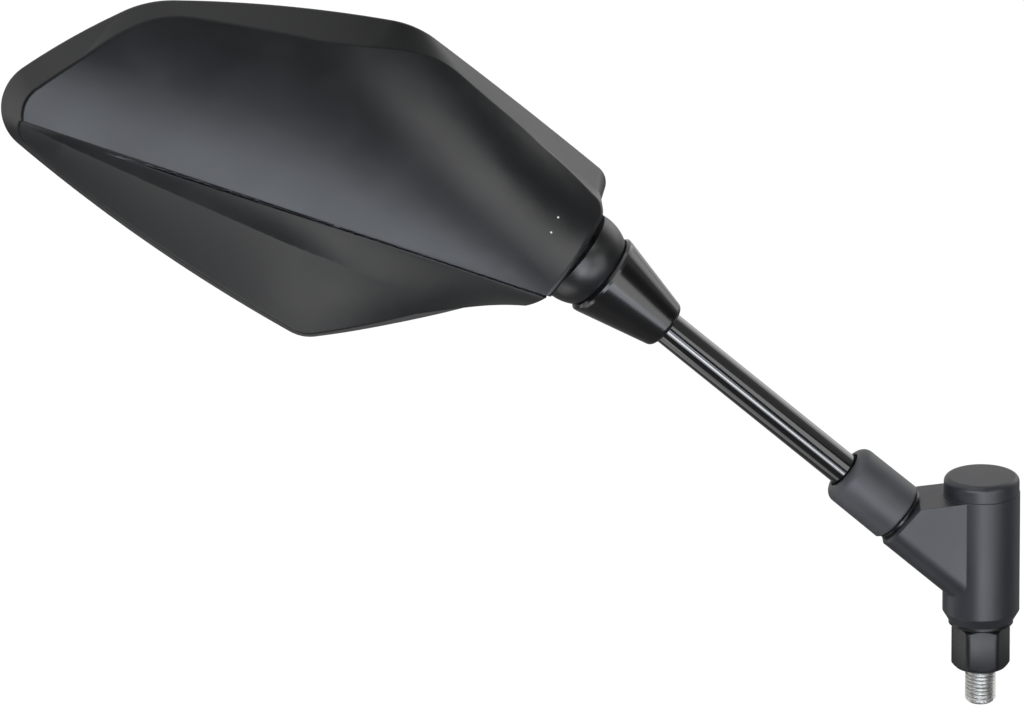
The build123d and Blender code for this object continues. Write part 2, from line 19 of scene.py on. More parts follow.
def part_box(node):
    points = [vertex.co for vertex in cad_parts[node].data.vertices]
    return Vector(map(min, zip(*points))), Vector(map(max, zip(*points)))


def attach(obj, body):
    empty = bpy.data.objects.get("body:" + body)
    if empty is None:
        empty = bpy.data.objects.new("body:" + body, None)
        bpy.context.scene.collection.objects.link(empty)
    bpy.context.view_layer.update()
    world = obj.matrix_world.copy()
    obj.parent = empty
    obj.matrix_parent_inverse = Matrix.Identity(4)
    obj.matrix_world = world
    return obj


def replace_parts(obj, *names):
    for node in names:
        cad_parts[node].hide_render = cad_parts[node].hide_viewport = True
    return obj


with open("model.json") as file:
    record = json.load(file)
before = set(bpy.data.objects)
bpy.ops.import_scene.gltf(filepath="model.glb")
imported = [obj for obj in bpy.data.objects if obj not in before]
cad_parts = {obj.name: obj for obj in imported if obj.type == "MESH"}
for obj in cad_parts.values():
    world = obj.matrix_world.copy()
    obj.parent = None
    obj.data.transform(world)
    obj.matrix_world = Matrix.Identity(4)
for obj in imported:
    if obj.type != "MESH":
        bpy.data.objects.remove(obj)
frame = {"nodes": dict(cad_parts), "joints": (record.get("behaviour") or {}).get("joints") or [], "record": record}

LOG = logging.getLogger("mirror")
MM = 0.001
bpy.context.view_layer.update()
# Corners nearer to each other than this are one corner.
MERGE_DISTANCE = 0.001 * MM
# Edges that turn by more than this stay crisp.
SMOOTH_ANGLE = math.radians(32.0)

Colour = tuple[float, float, float]
Point = tuple[float, float, float]
Span = tuple[float, float]

WHITE: Colour = (1.0, 1.0, 1.0)
UP: Point = (0.0, 0.0, 1.0)


class Body(str, Enum):
    """The bodies that pieces ride on."""

    BASE = "base"
    HEAD = "head"


class Slot(str, Enum):
    """The record's material slots."""

    HOUSING = "housing_plastic"
    SOCKET = "socket_plastic"
    GLOSS = "gloss_paint"
    BOOT = "boot_plastic"
    ARM = "arm_paint"
    BLACK_STEEL = "black_steel"
    ZINC = "zinc_steel"
    PLAIN_STEEL = "plain_steel"
    SEAT = "seat_plastic"
    INNER = "inner_plastic"
    FOAM = "pad_foam"
    MIRROR = "mirror_face"


class ShaderTree:
    """Short ways to add and join shader nodes in one tree."""

    # A Mix node has sockets of the same names for numbers and colours. These are the ones for colours.
    MIX_SHARE = 0
    MIX_FIRST = 6
    MIX_SECOND = 7
    MIX_RESULT = 2

    def __init__(self, tree: bpy.types.NodeTree) -> None:
        """Takes the tree that the nodes go into.

        Args:
            tree: a material's, world's or group's node tree.
        """
        self.tree = tree

    def add(self, kind: str, inputs: dict | None = None, **settings: object) -> bpy.types.Node:
        """Adds a node.

        Args:
            kind: the node's type name.
            inputs: values for its sockets, by name or number.
            settings: values for its own properties.

        Returns:
            The new node.
        """
        node = self.tree.nodes.new(kind)
        for name, value in settings.items():
            setattr(node, name, value)
        for name, value in (inputs or {}).items():
            node.inputs[name].default_value = value
        return node

    def group(self, effect: bpy.types.NodeTree, control: str, value: float) -> bpy.types.Node:
        """Places a shared effect with a value of its own.

        Args:
            effect: the node group.
            control: the name of its input.
            value: the input's value here.

        Returns:
            The group's node.
        """
        node = self.add("ShaderNodeGroup", node_tree=effect)
        node.inputs[control].default_value = value
        return node

    def join(self, source: bpy.types.NodeSocket, target: bpy.types.NodeSocket) -> None:
        """Links one socket to another."""
        self.tree.links.new(source, target)

    def math(self, operation: str, first: object, second: object) -> bpy.types.NodeSocket:
        """Adds a Math node.

        Args:
            operation: the sum to do.
            first: a socket or a number.
            second: a socket or a number.

        Returns:
            The node's output socket.
        """
        node = self.add("ShaderNodeMath", operation=operation)
        for socket, value in zip(node.inputs, (first, second)):
            if isinstance(value, bpy.types.NodeSocket):
                self.join(value, socket)
            else:
                socket.default_value = value
        return node.outputs[0]

    def remap(self, value: bpy.types.NodeSocket, low: float, high: float, to_low: float,
              to_high: float, smooth: bool = False) -> bpy.types.NodeSocket:
        """Maps a value from one range to another.

        Args:
            value: the socket to map.
            low: start of the range that comes in.
            high: end of the range that comes in.
            to_low: start of the range that goes out.
            to_high: end of the range that goes out.
            smooth: whether the ends ease in and out.

        Returns:
            The mapped socket.
        """
        node = self.add("ShaderNodeMapRange", interpolation_type="SMOOTHSTEP" if smooth else "LINEAR")
        for name, number in (("From Min", low), ("From Max", high), ("To Min", to_low), ("To Max", to_high)):
            node.inputs[name].default_value = number
        self.join(value, node.inputs["Value"])
        return node.outputs["Result"]

    def mix(self, share: bpy.types.NodeSocket, first: object, second: object) -> bpy.types.NodeSocket:
        """Mixes two colours.

        Args:
            share: how much of the second colour shows.
            first: a colour or a socket.
            second: a colour or a socket.

        Returns:
            The mixed colour's socket.
        """
        node = self.add("ShaderNodeMix", data_type="RGBA")
        self.join(share, node.inputs[self.MIX_SHARE])
        for socket, value in ((node.inputs[self.MIX_FIRST], first), (node.inputs[self.MIX_SECOND], second)):
            if isinstance(value, bpy.types.NodeSocket):
                self.join(value, socket)
            else:
                socket.default_value = (*value, 1.0)
        return node.outputs[self.MIX_RESULT]


class EffectGroups:
    """Surface effects that several finishes share, each a node group that is made once."""

    GRAIN = "Moulded grain"
    EDGES = "Rounded edges"
    RINGS = "Turned rings"
    NUMBER = "NodeSocketFloat"
    VECTOR = "NodeSocketVector"
    PIT_SHARE = 0.6
    FUZZ_COARSENESS = 0.45
    FUZZ = {"Detail": 3.0, "Roughness": 0.6}
    GRAIN_TONE = {"Scale": 38.0, "Detail": 4.0, "Roughness": 0.55}
    GRAIN_TONE_SPAN: Span = (0.3, 0.7)
    EDGE_SAMPLES = 6
    # Cosines of the angle between the plain and the softened normal, from no painted edge highlight to a full one.
    EDGE_HIGHLIGHT_SPAN: Span = (0.99, 0.86)
    RING_STRETCH: Point = (0.06, 0.06, 1.0)
    RING_MARKS = {"Detail": 3.0, "Roughness": 0.65}
    RING_TONE = {"Scale": 320.0, "Detail": 5.0}
    RING_TONE_SPAN: Span = (0.35, 0.65)

    @classmethod
    def start(cls, name: str, control: str, outputs: dict[str, str]) -> ShaderTree:
        """Makes an empty group with its sockets.

        Args:
            name: the group's name.
            control: the name of its one number input.
            outputs: sockets with their types.

        Returns:
            The group's tree.
        """
        tree = bpy.data.node_groups.new(name, "ShaderNodeTree")
        tree.interface.new_socket(name=control, in_out="INPUT", socket_type=cls.NUMBER)
        for label, kind in outputs.items():
            tree.interface.new_socket(name=label, in_out="OUTPUT", socket_type=kind)
        return ShaderTree(tree)

    @classmethod
    def grain(cls) -> bpy.types.NodeTree:
        """Fine moulded texture, with a slow change of tone over the surface.

        Returns:
            The group, with a Height and a Tone.
        """
        found = bpy.data.node_groups.get(cls.GRAIN)
        if found:
            return found
        nodes = cls.start(cls.GRAIN, "Scale", {"Height": cls.NUMBER, "Tone": cls.NUMBER})
        scale = nodes.add("NodeGroupInput").outputs["Scale"]
        out = nodes.add("NodeGroupOutput")
        place = nodes.add("ShaderNodeTexCoord").outputs["Object"]
        pits = nodes.add("ShaderNodeTexVoronoi", feature="SMOOTH_F1")
        fuzz = nodes.add("ShaderNodeTexNoise", cls.FUZZ)
        slow = nodes.add("ShaderNodeTexNoise", cls.GRAIN_TONE)
        for texture in (pits, fuzz, slow):
            nodes.join(place, texture.inputs["Vector"])
        nodes.join(scale, pits.inputs["Scale"])
        nodes.join(nodes.math("MULTIPLY", scale, cls.FUZZ_COARSENESS), fuzz.inputs["Scale"])
        depth = nodes.math("MULTIPLY", pits.outputs["Distance"], cls.PIT_SHARE)
        nodes.join(nodes.math("ADD", depth, fuzz.outputs[0]), out.inputs["Height"])
        nodes.join(nodes.remap(slow.outputs[0], *cls.GRAIN_TONE_SPAN, 0.0, 1.0), out.inputs["Tone"])
        return nodes.tree

    @classmethod
    def edges(cls) -> bpy.types.NodeTree:
        """Softened corners, with a mask of the edges where a highlight is painted into the colour.

        Returns:
            The group, with a Normal and an Edge mask.
        """
        found = bpy.data.node_groups.get(cls.EDGES)
        if found:
            return found
        nodes = cls.start(cls.EDGES, "Radius", {"Normal": cls.VECTOR, "Edge": cls.NUMBER})
        radius = nodes.add("NodeGroupInput").outputs["Radius"]
        out = nodes.add("NodeGroupOutput")
        soft = nodes.add("ShaderNodeBevel", samples=cls.EDGE_SAMPLES)
        nodes.join(radius, soft.inputs["Radius"])
        plain = nodes.add("ShaderNodeNewGeometry").outputs["Normal"]
        match = nodes.add("ShaderNodeVectorMath", operation="DOT_PRODUCT")
        nodes.join(soft.outputs[0], match.inputs[0])
        nodes.join(plain, match.inputs[1])
        nodes.join(soft.outputs[0], out.inputs["Normal"])
        # The Edge mask says where the finish paints a lighter colour as an edge highlight.
        nodes.join(nodes.remap(match.outputs["Value"], *cls.EDGE_HIGHLIGHT_SPAN, 0.0, 1.0), out.inputs["Edge"])
        return nodes.tree

    @classmethod
    def rings(cls) -> bpy.types.NodeTree:
        """Fine rings left by turning, about the stud's axis.

        Returns:
            The group, with a Height and a Tone.
        """
        found = bpy.data.node_groups.get(cls.RINGS)
        if found:
            return found
        nodes = cls.start(cls.RINGS, "Scale", {"Height": cls.NUMBER, "Tone": cls.NUMBER})
        scale = nodes.add("NodeGroupInput").outputs["Scale"]
        out = nodes.add("NodeGroupOutput")
        place = nodes.add("ShaderNodeTexCoord").outputs["Object"]
        stretch = nodes.add("ShaderNodeVectorMath", {1: cls.RING_STRETCH}, operation="MULTIPLY")
        nodes.join(place, stretch.inputs[0])
        marks = nodes.add("ShaderNodeTexNoise", cls.RING_MARKS)
        nodes.join(stretch.outputs[0], marks.inputs["Vector"])
        nodes.join(scale, marks.inputs["Scale"])
        slow = nodes.add("ShaderNodeTexNoise", cls.RING_TONE)
        nodes.join(place, slow.inputs["Vector"])
        nodes.join(marks.outputs[0], out.inputs["Height"])
        nodes.join(nodes.remap(slow.outputs[0], *cls.RING_TONE_SPAN, 0.0, 1.0), out.inputs["Tone"])
        return nodes.tree


@dataclass(frozen=True)
class Finish:
    """A surface: its colour, sheen, grain and edges."""

    name: str
    colour: Colour
    roughness: float
    grain_scale: float = 2200.0
    grain_depth: float = 0.012 * MM
    tone_spread: float = 0.12
    roughness_spread: float = 0.04
    edge_radius: float = 0.35 * MM
    # A lighter colour along the edges, in this share: a painted highlight where the rounded corners catch light.
    edge_highlight_colour: Colour = (0.10, 0.10, 0.10)
    edge_highlight_share: float = 0.15
    specular: float = 0.5
    metallic: float = 0.0
    coat: float = 0.0
    coat_roughness: float = 0.05
    turned: bool = False
    specks: tuple[Point, ...] = ()
    speck_radius: float = 0.42 * MM
    speck_core: float = 0.5
    speck_cover: float = 0.9
    speck_colour: Colour = (0.75, 0.75, 0.74)

    def material(self) -> bpy.types.Material:
        """The Blender material of this finish, made once.

        Returns:
            The material.
        """
        found = bpy.data.materials.get(self.name)
        if found:
            return found
        made = bpy.data.materials.new(self.name)
        made.use_nodes = True
        nodes = ShaderTree(made.node_tree)
        shader = made.node_tree.nodes["Principled BSDF"]
        shader.inputs["Metallic"].default_value = self.metallic
        shader.inputs["Specular IOR Level"].default_value = self.specular
        shader.inputs["Coat Weight"].default_value = self.coat
        shader.inputs["Coat Roughness"].default_value = self.coat_roughness
        effect = EffectGroups.rings() if self.turned else EffectGroups.grain()
        texture = nodes.group(effect, "Scale", self.grain_scale)
        edges = nodes.group(EffectGroups.edges(), "Radius", self.edge_radius)
        tone = texture.outputs["Tone"]
        nodes.join(self.coloured(nodes, tone, edges.outputs["Edge"]), shader.inputs["Base Color"])
        low = self.roughness - self.roughness_spread
        high = self.roughness + self.roughness_spread
        nodes.join(nodes.remap(tone, 0.0, 1.0, low, high), shader.inputs["Roughness"])
        bump = nodes.add("ShaderNodeBump", {"Strength": 1.0, "Distance": self.grain_depth})
        nodes.join(texture.outputs["Height"], bump.inputs["Height"])
        nodes.join(edges.outputs["Normal"], bump.inputs["Normal"])
        nodes.join(bump.outputs[0], shader.inputs["Normal"])
        return made

    def coloured(self, nodes: ShaderTree, tone: bpy.types.NodeSocket,
                 edge: bpy.types.NodeSocket) -> bpy.types.NodeSocket:
        """The colour with its slow tones, its painted highlights along the edges and its dust.

        Args:
            nodes: the material's tree.
            tone: the slow change of tone.
            edge: the mask of the edges.

        Returns:
            The finished colour.
        """
        dark = tuple(channel * (1.0 - self.tone_spread) for channel in self.colour)
        light = tuple(channel * (1.0 + self.tone_spread) for channel in self.colour)
        # Lightens the edges: a painted highlight where the rounded corners catch light.
        painted_highlight = nodes.math("MULTIPLY", edge, self.edge_highlight_share)
        highlighted_colour = nodes.mix(painted_highlight, nodes.mix(tone, dark, light), self.edge_highlight_colour)
        return self.dusted(nodes, highlighted_colour)

    def dusted(self, nodes: ShaderTree, colour: bpy.types.NodeSocket) -> bpy.types.NodeSocket:
        """Adds the finish's dust specks to a colour.

        Args:
            nodes: the material's tree.
            colour: the clean colour.

        Returns:
            The colour with its specks.
        """
        if not self.specks:
            return colour
        place = nodes.add("ShaderNodeTexCoord").outputs["Object"]
        for speck in self.specks:
            reach = nodes.add("ShaderNodeVectorMath", {1: speck}, operation="DISTANCE")
            nodes.join(place, reach.inputs[0])
            core = self.speck_core * self.speck_radius
            spot = nodes.remap(reach.outputs["Value"], core, self.speck_radius, self.speck_cover, 0.0)
            colour = nodes.mix(spot, colour, self.speck_colour)
        return colour


HOUSING_SPECKS: tuple[Point, ...] = ((-0.13767, -0.01045, 0.15963), (-0.14014, -0.01440, 0.15594))


class Wardrobe:
    """The finish that goes with each of the record's slots."""

    FINISHES: dict[Slot, Finish] = {
        Slot.HOUSING: Finish("Moulded black", (0.0065, 0.0068, 0.0074), 0.34, grain_depth=0.008 * MM,
                             specks=HOUSING_SPECKS),
        Slot.SOCKET: Finish("Smooth black moulding", (0.007, 0.007, 0.0075), 0.36, grain_depth=0.004 * MM),
        Slot.GLOSS: Finish("Gloss black", (0.004, 0.004, 0.0045), 0.11, grain_depth=0.0, edge_radius=0.0,
                           roughness_spread=0.015, coat=0.7, coat_roughness=0.03),
        Slot.BOOT: Finish("Matt black moulding", (0.044, 0.045, 0.050), 0.48, grain_depth=0.014 * MM,
                          tone_spread=0.3),
        Slot.ARM: Finish("Satin powder coat", (0.018, 0.0185, 0.0225), 0.40, grain_scale=1700.0),
        Slot.BLACK_STEEL: Finish("Black zinc", (0.006, 0.006, 0.0066), 0.34, grain_depth=0.004 * MM,
                                 specular=0.4),
        Slot.ZINC: Finish("Bright zinc", (0.58, 0.58, 0.56), 0.40, metallic=1.0, turned=True,
                          grain_scale=9000.0, grain_depth=0.0002 * MM, edge_highlight_share=0.0),
        Slot.PLAIN_STEEL: Finish("Plain steel", (0.50, 0.51, 0.52), 0.32, metallic=1.0, turned=True,
                                 grain_scale=5200.0, grain_depth=0.004 * MM, edge_highlight_share=0.0),
        Slot.SEAT: Finish("Natural acetal", (0.72, 0.71, 0.67), 0.38, edge_highlight_share=0.0),
        Slot.INNER: Finish("Black inner moulding", (0.02, 0.02, 0.02), 0.5),
        Slot.FOAM: Finish("Foam tape", (0.05, 0.05, 0.05), 0.9, grain_scale=900.0, grain_depth=0.08 * MM),
        Slot.MIRROR: Finish("Silvered glass", (0.82, 0.85, 0.86), 0.02, metallic=1.0, grain_depth=0.0,
                            tone_spread=0.01, roughness_spread=0.005, edge_highlight_share=0.0),
    }

    ODD_NODES: dict[str, Finish] = {
        "joint_cone": Finish("Gloss black cone", (0.004, 0.004, 0.0042), 0.2, grain_depth=0.00004 * MM,
                             roughness_spread=0.02, coat=0.3, coat_roughness=0.12),
        "stem_washer": Finish("Blackened washer", (0.05, 0.05, 0.052), 0.34, metallic=1.0, turned=True,
                              grain_scale=5200.0, grain_depth=0.002 * MM),
    }

    @classmethod
    def dress_nodes(cls) -> None:
        """Gives every solid the finish of its slot."""
        for part in frame["record"]["subparts"]:
            node = frame["nodes"][part["node"]]
            node.data.materials.clear()
            finish = cls.ODD_NODES.get(part["node"], cls.FINISHES[Slot(part["material_slot"])])
            node.data.materials.append(finish.material())
            LOG.info("%s takes %s", part["node"], part["material_slot"])


def new_piece(name: str, mesh: bmesh.types.BMesh, slot: Slot, body: Body) -> bpy.types.Object:
    """Makes a finished piece that rides on a body.

    Args:
        name: the piece's name.
        mesh: its shape, in the row frame.
        slot: the finish's slot.
        body: the body it moves with.

    Returns:
        The new object.
    """
    data = bpy.data.meshes.new(name)
    mesh.to_mesh(data)
    mesh.free()
    # Normals that came with a copy no longer suit its shape.
    stale = data.attributes.get("custom_normal")
    if stale:
        data.attributes.remove(stale)
    data.shade_smooth()
    data.set_sharp_from_angle(angle=SMOOTH_ANGLE)
    data.materials.append(Wardrobe.FINISHES[slot].material())
    piece = bpy.data.objects.new(name, data)
    bpy.context.scene.collection.objects.link(piece)
    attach(piece, body.value)
    LOG.info("%s has %d faces", name, len(data.polygons))
    return piece


def merged_copy(node: str) -> bmesh.types.BMesh:
    """A copy of a solid's mesh with its loose triangles joined.

    Args:
        node: the solid's name.

    Returns:
        The copy, to be shaped further.
    """
    mesh = bmesh.new()
    mesh.from_mesh(frame["nodes"][node].data)
    bmesh.ops.remove_doubles(mesh, verts=mesh.verts, dist=MERGE_DISTANCE)
    return mesh


def cut_level(mesh: bmesh.types.BMesh, height: float, keep_above: bool) -> None:
    """Cuts away what lies on one side of a level.

    Args:
        mesh: the mesh to cut.
        height: the level.
        keep_above: whether the part above stays, or the part below.
    """
    everything = mesh.verts[:] + mesh.edges[:] + mesh.faces[:]
    bmesh.ops.bisect_plane(mesh, geom=everything, plane_co=(0, 0, height), plane_no=UP,
                           clear_inner=keep_above, clear_outer=not keep_above)


def close_ends(mesh: bmesh.types.BMesh) -> None:
    """Fills the open ends of a mesh."""
    bmesh.ops.holes_fill(mesh, edges=[edge for edge in mesh.edges if edge.is_boundary])


def smooth_share(value: float, low: float, high: float) -> float:
    """How far a value has come from low to high, eased at both ends."""
    share = min(max((value - low) / (high - low), 0.0), 1.0)
    return share * share * (3.0 - 2.0 * share)


@dataclass
class MountingStud:
    """The pivot bolt with the thread that screws into the handlebar clamp."""

    pitch: float = 1.25 * MM
    major_radius: float = 5.0 * MM
    minor_radius: float = 4.25 * MM
    root_end: float = 0.22
    crest_start: float = 0.52
    crest_end: float = 0.70
    tip_radius: float = 3.7 * MM
    tip_length: float = 1.5 * MM
    steps: int = 48
    spare_turns: int = 2
    seam: float = 0.002 * MM
    seat: float = 0.0

    def build(self) -> bpy.types.Object:
        """Cuts the thread below the seat and keeps the bolt as it is above it.

        Returns:
            The bolt's piece.
        """
        low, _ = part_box("pivot_bolt")
        mesh = merged_copy("pivot_bolt")
        cut_level(mesh, self.seat, keep_above=True)
        close_ends(mesh)
        self.add_thread(mesh, low.z)
        piece = new_piece("threaded_bolt", mesh, Slot.ZINC, Body.BASE)
        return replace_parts(piece, "pivot_bolt")

    def add_thread(self, mesh: bmesh.types.BMesh, bottom: float) -> None:
        """Adds a helical thread from the seat down to the stud's end.

        Args:
            mesh: the bolt's mesh.
            bottom: height of the stud's end.
        """
        thread = bmesh.new()
        turns = math.ceil((self.seat - bottom) / self.pitch) + self.spare_turns
        drops = (
            (self.minor_radius, 0.0),
            (self.minor_radius, self.root_end),
            (self.major_radius, self.crest_start),
            (self.major_radius, self.crest_end),
            (self.minor_radius, 1.0),
        )
        profile = [thread.verts.new((radius, 0.0, self.pitch * (1.0 - drop))) for radius, drop in drops]
        edges = [thread.edges.new(pair) for pair in zip(profile, profile[1:])]
        bmesh.ops.spin(thread, geom=profile + edges, cent=(0, 0, 0), axis=UP, angle=math.tau * turns,
                       dvec=(0, 0, -self.pitch / self.steps), steps=self.steps * turns, use_merge=False)
        bmesh.ops.remove_doubles(thread, verts=thread.verts, dist=self.seam)
        cut_level(thread, self.seat, keep_above=False)
        cut_level(thread, bottom, keep_above=True)
        self.round_tip(thread, bottom)
        close_ends(thread)
        bmesh.ops.recalc_face_normals(thread, faces=thread.faces)
        data = bpy.data.meshes.new("thread")
        thread.to_mesh(data)
        thread.free()
        mesh.from_mesh(data)
        bpy.data.meshes.remove(data)

    def round_tip(self, thread: bmesh.types.BMesh, bottom: float) -> None:
        """Draws the thread in over the stud's rounded end.

        Args:
            thread: the thread's mesh.
            bottom: height of the stud's end.
        """
        for vert in thread.verts:
            share = (vert.co.z - bottom) / self.tip_length
            if share < 1.0:
                swell = (self.major_radius - self.tip_radius) * math.sin(share * math.pi / 2)
                shrink = min(1.0, (self.tip_radius + swell) / math.hypot(vert.co.x, vert.co.y))
                vert.co.x *= shrink
                vert.co.y *= shrink


@dataclass
class SpannerHex:
    """The hexagon above the stud, with rounded corners and a turned rim."""

    across_flats: float = 17.0 * MM
    corner_radius: float = 2.0 * MM
    turned_radius: float = 8.1 * MM
    turned_slope: float = 0.9
    mouth_radius: float = 5.25 * MM
    rim_round: float = 0.22 * MM
    rim_segments: int = 2
    flat_marks: tuple[float, ...] = (-1.0, -0.97, -0.7, -0.35, 0.0, 0.35, 0.7, 0.97)
    corner_steps: int = 6
    sixth_turn: float = math.tau / 6
    # The places in the profile at the foot and the head of the flats.
    rims: tuple[int, int] = (2, 3)

    def build(self) -> bpy.types.Object:
        """Draws the hexagon's walls out of one ring, and rounds the rims of its flats.

        Returns:
            The hexagon's piece.
        """
        _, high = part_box("base_hex")
        solid = frame["nodes"]["base_hex"].data
        bore = min(math.hypot(vert.co.x, vert.co.y) for vert in solid.vertices)
        mesh = bmesh.new()
        rings = self.drawn_rings(mesh, bore, high.z)
        bmesh.ops.bridge_loops(mesh, edges=rings[0] + rings[-1])
        bmesh.ops.recalc_face_normals(mesh, faces=mesh.faces)
        edges = [edge for rim in self.rims for edge in rings[rim]]
        bmesh.ops.bevel(mesh, geom=edges, offset=self.rim_round, offset_type="OFFSET", affect="EDGES",
                        segments=self.rim_segments, profile=0.5, material=-1, clamp_overlap=True)
        piece = new_piece("spanner_hex", mesh, Slot.BLACK_STEEL, Body.BASE)
        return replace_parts(piece, "base_hex")

    def drawn_rings(self, mesh: bmesh.types.BMesh, bore: float, top: float) -> list[list[bmesh.types.BMEdge]]:
        """Draws rings out of the outline and moves each to its place in the profile.

        Args:
            mesh: the mesh that they go into.
            bore: radius of the bore.
            top: height of the hexagon.

        Returns:
            The edges of each ring, in the profile's order.
        """
        verts = [mesh.verts.new(point) for point in self.outline()]
        rings = [[mesh.edges.new(pair) for pair in zip(verts, verts[1:] + verts[:1])]]
        while len(rings) < len(self.profile(bore, bore, top)):
            drawn = bmesh.ops.extrude_edge_only(mesh, edges=rings[-1])["geom"]
            rings.append([item for item in drawn if isinstance(item, bmesh.types.BMEdge)])
        # All rings still lie on the outline, so each corner tells the outline's radius at its own angle.
        for row, ring in enumerate(rings):
            for vert in {vert for edge in ring for vert in edge.verts}:
                outer = vert.co.length
                radius, height = self.profile(outer, bore, top)[row]
                vert.co = vert.co * (radius / outer) + Vector((0.0, 0.0, height))
        return rings

    def outline(self) -> list[Vector]:
        """The hexagon seen from above, one flat towards the camera.

        Returns:
            Its points in order.
        """
        half = self.across_flats / 2
        inner = half - self.corner_radius
        reach = inner * math.tan(self.sixth_turn / 2)
        side = [Vector((half, mark * reach, 0.0)) for mark in self.flat_marks]
        for step in range(self.corner_steps):
            turn = self.sixth_turn * step / self.corner_steps
            outwards = Vector((math.cos(turn), math.sin(turn), 0.0))
            side.append(Vector((inner, reach, 0.0)) + outwards * self.corner_radius)
        points = []
        for flat in range(6):
            turn = Matrix.Rotation(self.sixth_turn * flat - math.pi / 2, 3, "Z")
            points.extend(turn @ point for point in side)
        return points

    def profile(self, outer: float, bore: float, top: float) -> tuple[Span, ...]:
        """The section from the mouth of the bore round the outside and back.

        Args:
            outer: the outline's radius at the section.
            bore: radius of the bore.
            top: height of the hexagon.

        Returns:
            Radius and height of each place.
        """
        turned = min(outer, self.turned_radius)
        drop = (outer - turned) * self.turned_slope
        return (
            (self.mouth_radius, 0.0),
            (turned, 0.0),
            (outer, drop),
            (outer, top - drop),
            (turned, top),
            (bore, top),
            (bore, self.mouth_radius - bore),
        )


@dataclass(frozen=True)
class HousingAxes:
    """The housing's own directions from the ball's centre: along its ridge to the tip, and up across it."""

    ridge_angle: float = math.radians(17.55)

    def point(self, along: float, above: float) -> Vector:
        """A point of the housing's middle plane.

        Args:
            along: distance along the ridge, towards the tip.
            above: distance across the ridge, upwards.

        Returns:
            The point in the row frame.
        """
        ball = next(joint["pos_m"] for joint in frame["joints"] if joint["name"] == "head_raise")
        cos = math.cos(self.ridge_angle)
        sin = math.sin(self.ridge_angle)
        return Vector(ball) + Vector((-cos, 0.0, sin)) * along + Vector((sin, 0.0, cos)) * above


